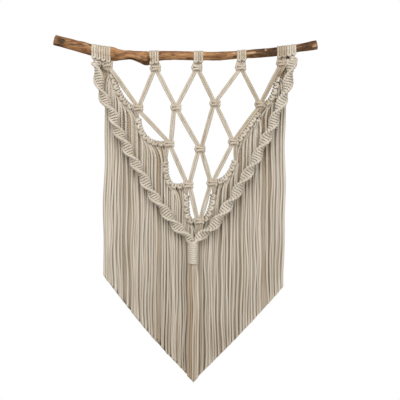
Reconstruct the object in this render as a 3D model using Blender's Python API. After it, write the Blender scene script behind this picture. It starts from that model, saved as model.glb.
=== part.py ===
"""A macrame wall hanging of cotton cord on a driftwood branch.

Frame: +X to the right as the hanging is seen, +Z up, and its front faces -Y. The wall is the plane
y = 0. The origin lies on that plane, on the hanging's centre line, at the height of the branch's
lowest stretch. Sizes and tables are in millimetres; MM turns them into metres.
"""

import math

import bmesh
import bpy
from mathutils import Vector

MM = 0.001
NAME = "macrame_wall_hanging"

CLEARANCE = 0.3  # between pieces that touch
CORD = 5.0  # the cotton cord's diameter
PRESSED_CORD = 3.4  # its thickness where it is pulled tight round the branch

# How far each layer's middle lies from the wall.
BRANCH_Y = -18.0
NET_Y = -20.0
BAR_Y = -11.8
REAR_FRINGE_Y = -3.8
FRONT_FRINGE_Y = -9.2
SINNET_Y = -25.6
WRAP_Y = -25.0

# The branch's axis from left to right: (x, z, radius).
BRANCH = (
    (-278, 32, 10.6),
    (-204, 12, 11.2),
    (-166, 3.6, 13.2),
    (-146, 2, 10.4),
    (-126, 1.8, 8.8),
    (-108, -1.6, 11.4),
    (-94, -4.6, 14.2),
    (-82, -1.2, 10.6),
    (-60, 0.8, 9.0),
    (-38, 1, 8.8),
    (12, 0, 8.8),
    (48, 0, 8.8),
    (86, 2, 8.0),
    (118, 4.6, 8.4),
    (164, 8.6, 9.0),
    (204, 15, 7.8),
    (245, 22.4, 9.2),
)
BRANCH_SIDES = 10
BRANCH_STEPS = 2  # rings for each row of the table

# Lark's heads on the branch: (x of the group's middle, node that it belongs to). Each holds two cords.
LARKS_HEADS = (
    (-194.9, "spiral_left"),
    (-175.3, "net"),
    (-79.4, "net"),
    (9.0, "net"),
    (95.3, "net"),
    (175.3, "net"),
    (194.7, "spiral_right"),
)
TURNS = 4  # wraps of cord in a group
TURN_PITCH = 4.75
TURN_VALLEY = 0.55  # the sleeve's thickness between two wraps, as a share of the pressed cord's
SLEEVE_SIDES = 10
BORE_EXTRA = 0.06  # added to the clearance, because a faceted bore is flatter than its branch

# The square knots' middles: (x, z), a row of the net at a time.
KNOT_ROWS = (
    ((-172.5, -17), (-77, -25), (6, -24), (93, -23), (175, -15)),
    ((-112, -104), (-36, -103), (42, -95), (132, -97)),
    ((-50, -176), (12, -186), (79, -172)),
    ((-12, -258), (36, -254)),
    ((10, -330),),
)
KNOT_DEPTH = 0.68  # a knot's depth for its width
# A knot from bottom to top, two ridges: (height over its middle, half width).
KNOT_PROFILE = ((-6.0, 6.8), (-3.3, 9.2), (0.0, 7.8), (3.3, 9.2), (6.0, 6.8))
CORD_END = 2.5  # the net's cords end in a knot, this far from the height of its middle
KNOT_SIDES = 8
INNER_CORD, OUTER_CORD = 2.7, 7.2  # how far from a knot's middle its two pairs of cords leave it
CORD_OFFSETS = (-OUTER_CORD, -INNER_CORD, INNER_CORD, OUTER_CORD)
LEG_GATHER = 0.9  # how far apart the cords leave the branch, as a share of that at the knot
LEG_TOP = 0.85  # how far below the branch they start
PAIR_BOW = 1.6  # how far each cord of a pair bows away from the pair's middle
BOW_START, BOW_END = 0.3, 0.7  # where the bow lies along the pair, as shares
CORD_TILT = 0.1  # turns each cord's facets a little, in radians
PAIR_STAGGER = 1.0  # how far one cord of a pair lies behind the middle and the other in front

# The festoon bars, (x, z) of each: where its cords leave the knot above, where the lark's heads
# begin, the corner that the curve bends round, and its end beside the next knot. Then the first and
# last x of its fringe, and how far along the bar the first strand hangs, as a share.
FESTOONS = {
    "fringe_left_1": ((-175, -24.75), (-163, -40), (-150, -92), (-121.9, -104), (-177, -122), 0.0),
    "fringe_left_2": ((-117, -111.0), (-112, -124), (-108, -177), (-59.8, -176), (-114, -69), 0.25),
    "fringe_left_3": ((-55, -182.4), (-57, -210), (-60, -272), (-21.8, -259), (-65.2, -27.4), 0.35),
    "fringe_left_4": ((-17, -264.7), (-15, -278), (-18, -336), (0.2, -331), (-23, 0.2), 0.45),
    "fringe_right_1": ((178, -22.5), (168, -40), (162, -90), (141.9, -97), (182, 143), 0.0),
    "fringe_right_2": ((137, -104.5), (130, -114), (113, -143), (88.9, -171), (136, 90), 0.0),
    "fringe_right_3": ((84, -178.5), (82, -208), (73, -246), (45.9, -253), (84, 54.2), 0.15),
    "fringe_right_4": ((41, -260.6), (39, -276), (45, -318), (19.8, -331), (50, 21.6), 0.4),
}
BAR_RADIUS = 5.6
BAR_RIDGE_PITCH = 10.5  # one lark's head along a bar
BAR_SIDES = 6
CARRIER_SPREAD = 2.6  # between a bar's two carrying cords, each side of the middle
CARRIER_Y = -16.0  # where they leave the knot
CARRIER_REACH = 4.0  # how far they run down past the bar's first point
BAR_END_SCALE = 0.7  # a bar's end radius for its ridge's
BAR_STEPS = 60

# Fringe: strands in two layers that alternate, with the hem cut to a V.
STRAND_SPACING = 4.1
STRAND_WIDTH = 4.6
REAR_ROOT_Y, FRONT_ROOT_Y = -8.5, -12.0  # where the strands of each layer leave the bar
HEM_LEFT, HEM_TIP, HEM_RIGHT = (-184, -438), (-1, -648), (184, -454)
HEM_BULGE = 9.0  # how far each half of the V bulges downwards
ROOT_DROP = 26.0  # below its root a strand reaches its own layer
ROOT_END = 0.97  # how far along the bar the last strand hangs, as a share
SWAY = 1.2  # how far a strand's middle strays sideways
SWAY_STEP, TURN_STEP = 2.4, 1.3  # how the sway and the turn change from strand to strand, in radians
STRAND_TURN = 0.25  # how far a strand's facets turn, in radians
TIP_COLUMNS = (4.2, 8.3, 12.3, 16.2)  # x at which the last knot's four cords hang, behind the wrap

# The spiral sinnets' routes: the x at which each leaves the branch, then (x, z) down to the wrap.
SINNETS = {
    "spiral_left": (
        -198.2,
        (-191.5, -46),
        (-179, -85),
        (-160, -118),
        (-150, -149),
        (-116, -211),
        (-78, -277),
        (-37, -337),
        (-14, -357),
        (-7.2, -365.4),
    ),
    "spiral_right": (
        199,
        (190, -46),
        (174, -90),
        (145, -162),
        (107, -235),
        (68, -298),
        (40, -337),
        (17, -357),
        (7, -367.0),
    ),
}
SINNET_HALF_WIDTH, SINNET_HALF_DEPTH = 12.2, 6.8
SINNET_HALF_TURN = {"spiral_left": 36.6, "spiral_right": 39.5}  # length of a half turn
SINNET_RIDGE_PITCH = 8.0
SINNET_SIDES = 6
SINNET_STEPS = 6  # rings of the route for each row of its table
SINNET_FORWARD = 0.12  # the share of the route over which it comes forward from the branch
SINNET_CLOSING = 0.9  # the share of the route after which it moves to the wrap's front
SINNET_TAPER = 10  # rings over which it narrows to its end
SINNET_END_SCALE = 0.5  # its thickness at the wrap
SINNET_END_Y = WRAP_Y - 2

# The gathering wrap and the tail below it.
WRAP_X, WRAP_TOP, WRAP_BOTTOM = -2.0, -369.0, -418.0
WRAP_RADIUS = 10.4
WRAP_TURNS = 10
WRAP_SIDES = 10
TAIL_STRANDS = 4  # in each of two layers
TAIL_SPREAD = 14.5  # half the tail's width
TAIL_LAYERS = ((-28.0, -23.5), (-22.0, -17.5))  # y of each layer in the wrap and below it
TAIL_ROOT_SPACING = 4.8
TAIL_ROOT_DEPTH = 3.0  # how far up in the wrap the tail's strands start
TAIL_OFFSET, TAIL_LAYER_OFFSET = 0.25, 0.5  # where the strands of each layer hang, in strand widths
RIDGE_DEPTH = 0.84  # a valley's radius for its ridge's

COTTON = ("cotton_cord", (0.68, 0.62, 0.53, 1), 0.92)
DRIFTWOOD = ("driftwood", (0.48, 0.28, 0.13, 1), 0.7)


def place(x, y, z):
    return Vector((x, y, z)) * MM


def smooth_curve(rows, steps):
    """Points on a Catmull-Rom curve through the rows, steps for each stretch."""
    rows = [Vector(row) for row in rows]
    rows = [2 * rows[0] - rows[1], *rows, 2 * rows[-1] - rows[-2]]
    points = []
    for a, b, c, d in zip(rows, rows[1:], rows[2:], rows[3:]):
        for i in range(steps):
            t = i / steps
            bent = t * t * (2 * a - 5 * b + 4 * c - d) + t**3 * (3 * b - a - 3 * c + d)
            points.append(0.5 * (2 * b + t * (c - a) + bent))
    return [*points, rows[-2]]


def bend(start, corner, end, steps):
    """Points on the quadratic curve from start to end that bends round the corner."""
    start, corner, end = Vector(start), Vector(corner), Vector(end)
    return [
        (1 - t) ** 2 * start + 2 * t * (1 - t) * corner + t * t * end
        for t in (i / steps for i in range(steps + 1))
    ]


def evenly(points, spacing):
    """Points along the polyline, about spacing apart and all the same distance, ends included."""
    lengths = [0.0]
    for a, b in zip(points, points[1:]):
        lengths.append(lengths[-1] + (b - a).length)
    count = max(1, round(lengths[-1] / spacing))
    found, i = [], 0
    for k in range(count + 1):
        want = lengths[-1] * k / count
        while i < len(points) - 2 and lengths[i + 1] < want:
            i += 1
        share = (want - lengths[i]) / (lengths[i + 1] - lengths[i])
        found.append(points[i].lerp(points[i + 1], share))
    return found


def branch_at(x):
    """(z, radius) of the branch's axis at x."""
    for a, b in zip(BRANCH_AXIS, BRANCH_AXIS[1:]):
        if x <= b[0]:
            share = (x - a[0]) / (b[0] - a[0])
            return a[1] + share * (b[1] - a[1]), a[2] + share * (b[2] - a[2])
    return BRANCH_AXIS[-1][1], BRANCH_AXIS[-1][2]


BRANCH_AXIS = smooth_curve(BRANCH, BRANCH_STEPS)


def material(name, colour, roughness):
    made = bpy.data.materials.new(name)
    made.use_nodes = True
    shader = made.node_tree.nodes["Principled BSDF"]
    shader.inputs["Base Color"].default_value = colour
    shader.inputs["Roughness"].default_value = roughness
    shader.inputs["Metallic"].default_value = 0
    made.diffuse_color = colour
    return made


def collection(name):
    made = bpy.data.collections.new(name)
    bpy.context.scene.collection.children.link(made)
    return made


def tubes(name, runs, sides, section=None):
    """A mesh of closed tubes, one for each run: a list of (place, radius, tilt) along its axis, in
    millimetres and radians. A section is a closed outline of radius 1 that the tube takes instead of
    a round one."""
    curve = bpy.data.curves.new(name, "CURVE")
    curve.dimensions = "3D"
    curve.use_fill_caps = True
    curve.twist_mode = "MINIMUM"
    if section:
        curve.bevel_mode = "OBJECT"
        curve.bevel_object = section
    else:
        curve.bevel_depth = MM
        curve.bevel_resolution = (sides - 4) // 2
    for run in runs:
        spline = curve.splines.new("POLY")
        spline.points.add(len(run) - 1)
        for point, (where, radius, tilt) in zip(spline.points, run):
            point.co = (*place(*where), 1)
            point.radius = radius
            point.tilt = tilt
    guide = bpy.data.objects.new(name + "_axis", curve)
    bpy.context.scene.collection.objects.link(guide)
    graph = bpy.context.evaluated_depsgraph_get()
    mesh = bpy.data.meshes.new_from_object(guide.evaluated_get(graph))
    bpy.data.objects.remove(guide)
    close_caps(mesh)
    mesh.name = name
    return mesh


def close_caps(mesh):
    """Welds a tube's caps to its sides and turns every face out."""
    shape = bmesh.new()
    shape.from_mesh(mesh)
    bmesh.ops.remove_doubles(shape, verts=shape.verts, dist=1e-6)
    bmesh.ops.recalc_face_normals(shape, faces=shape.faces)
    shape.to_mesh(mesh)
    shape.free()


def even_run(points, radius, tilt=0.0):
    """A run of one radius and one tilt."""
    return [(point, radius, tilt) for point in points]


def add(name, mesh, group):
    made = bpy.data.objects.new(name, mesh)
    group.objects.link(made)
    return made


def combine(target, operation, meshes, helpers, crossing=False):
    """Gives the target one Boolean with each mesh, kept as a hidden helper. The tubes of a crossing
    mesh run through each other."""
    for mesh in meshes:
        helper = add(mesh.name, mesh, helpers)
        helper.hide_render = True
        helper.display_type = "WIRE"
        step = target.modifiers.new(f"{operation.lower()} {mesh.name}", "BOOLEAN")
        step.operation = operation
        step.object = helper
        step.solver = "EXACT"
        step.use_self = crossing


def finish(made, surface):
    made.data.materials.clear()
    made.data.materials.append(surface)
    made.data.shade_smooth()
    made.data.set_sharp_from_angle(angle=math.radians(50))
    return made


def branch_tube(name, extra, low=None, high=None):
    """The branch's shape, thicker by extra, between x = low and x = high."""
    rows = BRANCH_AXIS
    if low is not None:
        inside = [row for row in rows if low < row[0] < high]
        ends = [Vector((x, *branch_at(x))) for x in (low, high)]
        rows = [ends[0], *inside, ends[1]]
    return tubes(name, [[((x, BRANCH_Y, z), r + extra, 0.0) for x, z, r in rows]], BRANCH_SIDES)


def sleeve(name, middle):
    """The outer form of a group of lark's heads round the branch, one ridge for each turn."""
    run = []
    half = TURNS * TURN_PITCH / 2 - CLEARANCE / 2
    for i in range(2 * TURNS + 1):
        x = middle - half + 2 * half * i / (2 * TURNS)
        z, radius = branch_at(x)
        thick = PRESSED_CORD if i % 2 else PRESSED_CORD * TURN_VALLEY
        run.append(((x, BRANCH_Y, z), radius + CLEARANCE + thick, 0.0))
    return tubes(name, [run], SLEEVE_SIDES)


def cut_for_branch(target, middle, helpers):
    """Opens the sleeve for the branch, with the clearance all round."""
    margin = TURNS * TURN_PITCH
    name = f"{target.name}_bore_{round(middle)}"
    cutter = branch_tube(name, CLEARANCE + BORE_EXTRA, middle - margin, middle + margin)
    combine(target, "DIFFERENCE", [cutter], helpers)


def make_branch(group):
    return add("branch", branch_tube("branch", 0.0), group)


def pair(start, end, side):
    """The two cords from the knot above to the knot below, on the side (1 right, -1 left) of the
    upper knot from which they leave it."""
    top = Vector((start[0], NET_Y, start[1] - CORD_END))
    foot = Vector((end[0], NET_Y, end[1] + CORD_END))
    along = (foot - top).normalized()
    across = Vector((-along.z, 0, along.x)) * side
    runs = []
    for leave, arrive, bow in ((OUTER_CORD, INNER_CORD, 1), (INNER_CORD, OUTER_CORD, -1)):
        a = top + Vector((side * leave, bow * PAIR_STAGGER, 0))
        d = foot + Vector((-side * arrive, bow * PAIR_STAGGER, 0))
        b = a.lerp(d, BOW_START) + across * bow * PAIR_BOW
        c = a.lerp(d, BOW_END) + across * bow * PAIR_BOW
        runs.append(even_run([a, b, c, d], CORD / 2, CORD_TILT * (bow + side / 2)))
    return runs


def make_net(group, helpers):
    """The net's knots, cords and lark's heads as one solid."""
    knots = []
    for row in KNOT_ROWS:
        for x, z in row:
            knots.append([((x, 0, z + up), half, math.radians(22.5)) for up, half in KNOT_PROFILE])
    mesh = tubes("net", knots, KNOT_SIDES)
    for vertex in mesh.vertices:
        vertex.co.y = vertex.co.y * KNOT_DEPTH + NET_Y * MM
    net = add("net", mesh, group)
    cords = []
    for upper, lower in zip(KNOT_ROWS, KNOT_ROWS[1:]):
        for i, end in enumerate(lower):
            cords += pair(upper[i], end, 1) + pair(upper[i + 1], end, -1)
    x, z = KNOT_ROWS[-1][0]
    for i, (offset, column) in enumerate(zip(CORD_OFFSETS, TIP_COLUMNS)):
        stagger = PAIR_STAGGER * (-1) ** i
        root = Vector((x + offset, NET_Y - stagger, z - CORD_END))
        layer = REAR_FRINGE_Y if i % 2 else FRONT_FRINGE_Y
        cords.append(strand(root, column, layer, i))
    middles = [x for x, owner in LARKS_HEADS if owner == "net"]
    for middle, knot in zip(middles, KNOT_ROWS[0]):
        z, radius = branch_at(middle)
        for i, offset in enumerate(CORD_OFFSETS):
            stagger = PAIR_STAGGER * (-1) ** i
            top = z - radius - LEG_TOP
            a = Vector((knot[0] + LEG_GATHER * offset, NET_Y + stagger, top))
            b = Vector((knot[0] + offset, NET_Y + stagger, knot[1] + CORD_END))
            cords.append(even_run([a, b], CORD / 2, CORD_TILT * stagger))
    combine(net, "UNION", [tubes("net_cords", cords, 4)], helpers)
    combine(net, "UNION", [sleeve(f"larks_heads_{round(x)}", x) for x in middles], helpers)
    for middle in middles:
        cut_for_branch(net, middle, helpers)
    return net


def sinnet_section(helpers):
    """The flattened section of a spiral sinnet, of radius 1 across its width."""
    outline = bpy.data.curves.new("sinnet_section", "CURVE")
    outline.dimensions = "2D"
    spline = outline.splines.new("POLY")
    spline.points.add(SINNET_SIDES - 1)
    spline.use_cyclic_u = True
    for i, point in enumerate(spline.points):
        angle = math.tau * i / SINNET_SIDES
        flat = SINNET_HALF_DEPTH / SINNET_HALF_WIDTH
        point.co = (math.cos(angle) * MM, math.sin(angle) * flat * MM, 0, 1)
    made = add("sinnet_section", outline, helpers)
    made.hide_render = True
    made.display_type = "WIRE"
    return made


def make_sinnet(name, section, group, helpers):
    """A spiral sinnet with its lark's heads: a flat section that turns as it descends, with a ridge
    for each knot."""
    start, *others = SINNETS[name]
    z, radius = branch_at(start)
    top = (start, z - radius - CLEARANCE - PRESSED_CORD / 2)
    route = smooth_curve([(x, 0, z) for x, z in (top, *others)], SINNET_STEPS)
    points = evenly(route, SINNET_RIDGE_PITCH / 2)
    run = []
    for i, point in enumerate(points):
        share = i / (len(points) - 1)
        forward = min(1.0, share / SINNET_FORWARD)
        closing = max(0.0, share - SINNET_CLOSING) / (1 - SINNET_CLOSING)
        point.y = BRANCH_Y + (SINNET_Y - BRANCH_Y) * forward + (SINNET_END_Y - SINNET_Y) * closing
        taper = min(1.0, SINNET_END_SCALE + (len(points) - 1 - i) / SINNET_TAPER)
        ridge = 1.0 if i % 2 == 0 else RIDGE_DEPTH
        tilt = math.pi * i * SINNET_RIDGE_PITCH / 2 / SINNET_HALF_TURN[name]
        run.append((point, SINNET_HALF_WIDTH * ridge * taper, tilt))
    made = add(name, tubes(name, [run], SINNET_SIDES, section), group)
    middle = next(x for x, owner in LARKS_HEADS if owner == name)
    combine(made, "UNION", [sleeve(f"larks_heads_{name}", middle)], helpers)
    cut_for_branch(made, middle, helpers)
    return made


def hem(x):
    """The height of the cut end of a strand that hangs at x."""
    side = HEM_LEFT if x < HEM_TIP[0] else HEM_RIGHT
    share = (x - HEM_TIP[0]) / (side[0] - HEM_TIP[0])
    return HEM_TIP[1] + share * (side[1] - HEM_TIP[1]) - HEM_BULGE * math.sin(math.pi * min(share, 1.0))


def strand(root, x, y, number):
    """A fringe strand from its root to the hem, at x and in the layer at y. Its number sets how it
    sways and turns."""
    sway = SWAY * math.sin(SWAY_STEP * number)
    settled = root.z - ROOT_DROP
    end = hem(x)
    middle = (settled + end) / 2
    return even_run(
        [root, Vector((x, y, settled)), Vector((x + sway, y, middle)), Vector((x, y, end))],
        STRAND_WIDTH / 2,
        STRAND_TURN * math.sin(TURN_STEP * number),
    )


def make_festoon(name, group, helpers):
    """A bar of lark's heads on its carrying cords, with the fringe that hangs from it."""
    leave, begin, corner, end, columns, first_root = FESTOONS[name]
    route = [Vector((p.x, BAR_Y, p.y)) for p in bend(begin, corner, end, BAR_STEPS)]
    points = evenly(route, BAR_RIDGE_PITCH / 2)
    bar = []
    for i, point in enumerate(points):
        scale = 1.0 if i % 2 else RIDGE_DEPTH
        if i in (0, len(points) - 1):
            scale = BAR_END_SCALE
        bar.append((point, BAR_RADIUS * scale, 0.0))
    made = add(name, tubes(name, [bar], BAR_SIDES), group)

    carriers = []
    for spread in (-CARRIER_SPREAD, CARRIER_SPREAD):
        top = Vector((leave[0] + spread, CARRIER_Y, leave[1]))
        low = Vector((begin[0] + spread, BAR_Y, begin[1] - CARRIER_REACH))
        carriers.append(even_run([top, low], CORD / 2, CORD_TILT * spread))

    first, last = columns
    count = round(abs(last - first) / STRAND_SPACING) + 1
    strands = []
    for i in range(count):
        share = i / (count - 1)
        along = first_root + (ROOT_END - first_root) * share
        root = route[round(along * (len(route) - 1))].copy()
        root.y, layer = (FRONT_ROOT_Y, FRONT_FRINGE_Y) if i % 2 else (REAR_ROOT_Y, REAR_FRINGE_Y)
        strands.append(strand(root, first + (last - first) * share, layer, i))
    combine(made, "UNION", [tubes(f"{name}_cords", carriers + strands, 4)], helpers, crossing=True)
    return made


def make_wrap(group, helpers):
    """The gathering wrap with the tail of cords that leaves it."""
    run = []
    for i in range(2 * WRAP_TURNS + 1):
        z = WRAP_TOP + (WRAP_BOTTOM - WRAP_TOP) * i / (2 * WRAP_TURNS)
        run.append(((WRAP_X, WRAP_Y, z), WRAP_RADIUS * (RIDGE_DEPTH if i % 2 else 1.0), 0.0))
    made = add("gathering_wrap", tubes("gathering_wrap", [run], WRAP_SIDES), group)
    strands = []
    for layer, (root_y, y) in enumerate(TAIL_LAYERS):
        for i in range(TAIL_STRANDS):
            root_x = WRAP_X + TAIL_ROOT_SPACING * (i - (TAIL_STRANDS - 1) / 2)
            root = Vector((root_x, root_y, WRAP_BOTTOM + TAIL_ROOT_DEPTH))
            column = (i + TAIL_OFFSET + TAIL_LAYER_OFFSET * layer) / TAIL_STRANDS
            x = WRAP_X + TAIL_SPREAD * (2 * column - 1)
            strands.append(strand(root, x, y, 2 * i + layer))
    combine(made, "UNION", [tubes("tail_cords", strands, 4)], helpers)
    return made


def main():
    for old in list(bpy.data.objects):
        bpy.data.objects.remove(old)
    group = collection(NAME)
    helpers = collection("helpers")
    helpers.hide_render = True
    cotton = material(*COTTON)
    driftwood = material(*DRIFTWOOD)
    section = sinnet_section(helpers)
    finish(make_branch(group), driftwood)
    made = [make_net(group, helpers), make_wrap(group, helpers)]
    made += [make_sinnet(name, section, group, helpers) for name in SINNETS]
    made += [make_festoon(name, group, helpers) for name in FESTOONS]
    for piece in made:
        finish(piece, cotton)


main()
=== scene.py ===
"""The looks of the macrame wall hanging: every cord as a twisted three-ply rope that is really knotted,
and the peeled driftwood branch with its marks and knots.

Tables are in millimetres in the part's own frame: +X right, +Z up, the front faces -Y and the wall is
y = 0. MM turns them into metres.
"""

import math
import random

import bmesh
import bpy
import numpy as np
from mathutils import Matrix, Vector, noise

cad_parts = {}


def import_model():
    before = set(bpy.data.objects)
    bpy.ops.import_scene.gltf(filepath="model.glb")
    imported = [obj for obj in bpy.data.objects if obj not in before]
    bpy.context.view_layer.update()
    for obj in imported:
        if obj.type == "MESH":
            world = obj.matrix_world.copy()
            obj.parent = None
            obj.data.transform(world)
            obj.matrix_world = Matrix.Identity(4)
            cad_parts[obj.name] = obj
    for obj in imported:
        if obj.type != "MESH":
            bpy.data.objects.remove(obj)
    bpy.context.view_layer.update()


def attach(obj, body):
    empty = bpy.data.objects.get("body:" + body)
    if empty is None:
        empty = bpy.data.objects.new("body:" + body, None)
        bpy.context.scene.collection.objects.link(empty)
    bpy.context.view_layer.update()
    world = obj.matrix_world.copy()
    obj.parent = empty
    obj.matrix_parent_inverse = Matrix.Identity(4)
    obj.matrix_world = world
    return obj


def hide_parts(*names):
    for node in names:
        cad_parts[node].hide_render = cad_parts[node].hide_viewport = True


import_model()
rng = random.Random(11)

MM = 0.001

# ---------------------------------------------------------------- driving dimensions
CORD = 5.0  # the cotton cord's diameter
LAY = 14.0  # length in which the cord's three plies turn once
RING_POINTS = 12
# A cord's outline from one ply's ridge to the next, as shares of its radius.
PLY_OUTLINE = (1.0, 0.97, 0.90, 0.97)
LOOSE_STEP = 2.6  # from ring to ring along a cord that hangs
BACK_STEP = 5.2  # along one that hangs behind the others
KNOT_STEP = 1.9  # and along a knotted one
END_REACH = 0.7  # from a cord's last ring to its end face
END_SHARE, CUT_SHARE = 0.7, 1.05  # an end face's size, inside the work and where it is cut at the hem
CUT_UNEVEN = 0.6  # how far the cuts stray from the hem

# The y of each layer's middle.
BRANCH_Y = -18.0
NET_Y = -20.0
BAR_Y = -11.8
REAR_FRINGE_Y = -3.9
BACK_Y = -4.5  # the strands behind all the others, painted dark as shade
FRONT_FRINGE_Y = -10.6
SINNET_Y = -25.4
WRAP_Y = -25.0

# The branch's axis from left to right: (x, z, radius).
BRANCH = (
    (-278, 32, 10.6),
    (-204, 12, 11.2),
    (-166, 3.6, 13.2),
    (-146, 2, 10.4),
    (-126, 1.8, 8.8),
    (-108, -1.6, 11.4),
    (-94, -4.6, 14.2),
    (-82, -1.2, 10.6),
    (-60, 0.8, 9.0),
    (-38, 1, 8.8),
    (12, 0, 8.8),
    (48, 0, 8.8),
    (86, 2, 8.0),
    (118, 4.6, 8.4),
    (164, 8.6, 9.0),
    (204, 15, 7.8),
    (245, 22.4, 9.2),
)

# Lark's heads on the branch: the x of each group's middle.
NET_GROUPS = (-175.3, -79.4, 9.0, 95.3, 175.3)
SINNET_GROUPS = {"spiral_left": -194.9, "spiral_right": 194.7}
TURN_PITCH = 4.75  # from turn to turn of the lark's heads on the branch
BAR_HANG = 4.0  # from the branch's underside to the middle of the bar that closes a lark's head

# The net's square knots, (x, z) of each, row by row from the top.
KNOT_ROWS = (
    ((-172.5, -17), (-77, -25), (6, -24), (93, -23), (175, -15)),
    ((-112, -104), (-36, -103), (42, -95), (132, -97)),
    ((-50, -176), (12, -186), (79, -172)),
    ((-12, -258), (36, -254)),
    ((10, -330),),
)
KNOT_WIDE = 1.3  # how much wider each square knot is than KNOT_CORDS says
KNOT_SHARE = (1.13, 1.18)  # how much thicker its working cords and its fillers are
PAIR_BOW = 0.45  # how far the two cords of a pair bow away from each other

# The festoon bars, (x, z) of each: where the cords leave the knot above, where the lark's heads begin,
# the corner that the curve bends round, and its end. Then the first and last x of its fringe.
FESTOONS = {
    "fringe_left_1": ((-175, -24.5), (-165, -34), (-150, -92), (-121.9, -104), (-176.2, -115.5)),
    "fringe_left_2": ((-117, -111.5), (-112, -124), (-108, -177), (-59.8, -176), (-116, -57.5)),
    "fringe_left_3": ((-55, -183.5), (-57, -210), (-60, -272), (-21.8, -259), (-55, -21)),
    "fringe_left_4": ((-17, -265.5), (-15, -278), (-18, -336), (0.2, -331), (-18, 2.5)),
    "fringe_right_1": ((178, -22.5), (168, -40), (162, -90), (141.9, -97), (182.6, 134.5)),
    "fringe_right_2": ((137, -104.5), (129, -113), (110, -142), (88.9, -171), (137.5, 88)),
    "fringe_right_3": ((84, -179.5), (82, -208), (73, -246), (45.9, -253), (87, 46.5)),
    "fringe_right_4": ((41, -261.5), (39, -276), (36.5, -314), (19.8, -331), (45.5, 17.5)),
}
# Strands that hang straight down from a knot beside a bar: the knot's height, how much further out each
# strand starts, and each one's x and the range of its tone. The dark ones hang in the rear layer as painted
# shade.
KNOT_STRANDS = {
    "fringe_left_1": (-17, -3, ((-176.4, (0.25, 0.35)), (-173.4, (0.1, 0.25)), (-169.8, (0.8, 0.95)))),
    "fringe_right_1": (
        -15,
        4,
        ((180.8, (0.4, 0.5)), (177.5, (0.15, 0.25)), (174, (0.1, 0.3)), (170.5, (0.7, 0.9))),
    ),
    "fringe_right_4": (-330, 0, ((6.4, (0.3, 0.45)), (10.4, (0.3, 0.45)), (14.4, (0.3, 0.45)))),
}
# Strands that start behind a knot, painted dark as shade, (x, z) down to where each hangs straight.
BEHIND_STRANDS = {
    "fringe_left_1": (
        ((-187, -4), (-187, -25), (-181.5, -46), (-178.5, -68), (-176.5, -100)),
        ((-182, -4), (-182, -25), (-179.5, -50), (-177.5, -80)),
        ((-171, -20), (-166.5, -44), (-164.5, -60), (-163, -84)),
    ),
    "fringe_left_2": (((-66, -174), (-64, -190), (-64, -214)),),
    "fringe_left_3": (((-32, -256), (-32, -272), (-32, -296)),),
    "fringe_right_1": (
        ((187.3, 8), (187.3, -10), (186, -32), (183.5, -62), (181, -96)),
        ((192, 8), (191.5, -10), (190, -30), (185.5, -62), (181.5, -96)),
        ((175, 4), (175, -14), (176, -40), (177, -70)),
    ),
    "fringe_right_2": (
        ((135, -98), (136.5, -116), (137, -146)),
        ((141, -96), (141.5, -112), (142, -132)),
        ((88.5, -170), (90, -184), (91, -206)),
    ),
    "fringe_right_4": (
        ((48, -252), (45.5, -268), (45.5, -292)),
        ((0.5, -326), (1, -338), (1.5, -360)),
        ((20, -326), (19.5, -338), (19, -360)),
    ),
}
# Painted shade: these strands are painted dark.
BEHIND_SHADE_TONES = (0.1, 0.25)
BAR_FORWARD = {"fringe_right_2": 3.9}  # how much nearer the front some bars are
HEAD_PITCH = 12.4  # one lark's head along a bar
HEAD_SPREAD = 3.2  # from a head's middle to each of its two turns
HEAD_SHARE = 1.22  # how much thicker its cord is than a hanging one
HEAD_CLOSING = 0.8  # how much closer the two turns are where they leave the head
CARRIER_SPREAD = 1.7  # how far each of a bar's two carrying cords starts to the side of it
HEAD_RADIUS = 3.9  # from a bar's middle to the middle of a cord that is wound round it
# The loop that closes a head: degrees round the bar, and how far outside the turns.
LOOP_ANGLE, LOOP_OUT = -26, 1.9

# The hem runs from the left through the tip to the right, (x, z), and bulges down between them.
HEM_LEFT, HEM_TIP, HEM_RIGHT = (-184, -437), (-1, -651), (184, -457)
HEM_BULGE_LEFT, HEM_BULGE_RIGHT = 9.5, 4.5
PAST_HEM = 4.5  # how far a strand would hang below the hem before it's cut
ROOT_DROP = 26.0  # from a strand's root down to where it hangs straight
EDGE_LEAN = 4.2  # how far the outermost strands drift to the left
FRONT_LEAN = 4.2  # how far a front strand's end strays to either side
CLUMP, REAR_CLUMP = 1.5, 0.3  # how far a strand's column strays from its even place, front and rear
# How far a strand sways by itself: mostly, in front of a bar's others, and behind them all.
OWN_SWAY, FRONT_SWAY, BACK_SWAY = (0.2, 0.5), (0.3, 1.1), (0.05, 0.2)
PALE_REAR_FORWARD = -2.2  # how far the pale ones among the rear strands come forward
# Above the sinnets the strands hang in bunches, with gaps between them. Below, they spread again.
BUNCH_PITCH, BUNCH_PULL = 13.0, 1.7
BUNCH_END, BUNCH_LEFT = 90.0, 0.3

STRAND_SHARE = 0.94  # a strand that hangs is drawn a little thinner by its weight
# But a bar's rear strands, and those behind them all, are thicker, to close the gaps between the rest.
REAR_SHARE, BACK_SHARE = 1.2, 1.28

# The lightness of cords, drawn for each one from a range. Where there are two ranges, the cord changes
# from the first to the second between the folds, which are shares of its length.
PALE_TONES, PAINTED_SHADE_TONES = (0.72, 1.12), (0.2, 0.46)  # of a bar's strands: pale ones, and ones painted dark as shade
NET_TONES, NET_FOLD = (0.38, 0.72, 0.3, 0.75), (0.55, 0.62)  # one that ends in a bar doesn't change; the lower second range, beside the tail, is partly painted shade
RIGHT_NET_SHADE_TONES = (0.16, 0.4, 0.16, 0.4)  # painted shade: darker where the cord comes from the last group on the branch
# Painted light: the right sinnet is painted lighter than the left, against the shade the lamp from the left
# puts on it.
SINNET_TONES = {"spiral_left": (0.55, 0.95), "spiral_right": (0.76, 1.06)}
WRAP_TONE, TAIL_TONES = 0.9, (0.0, 1.05)
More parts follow.
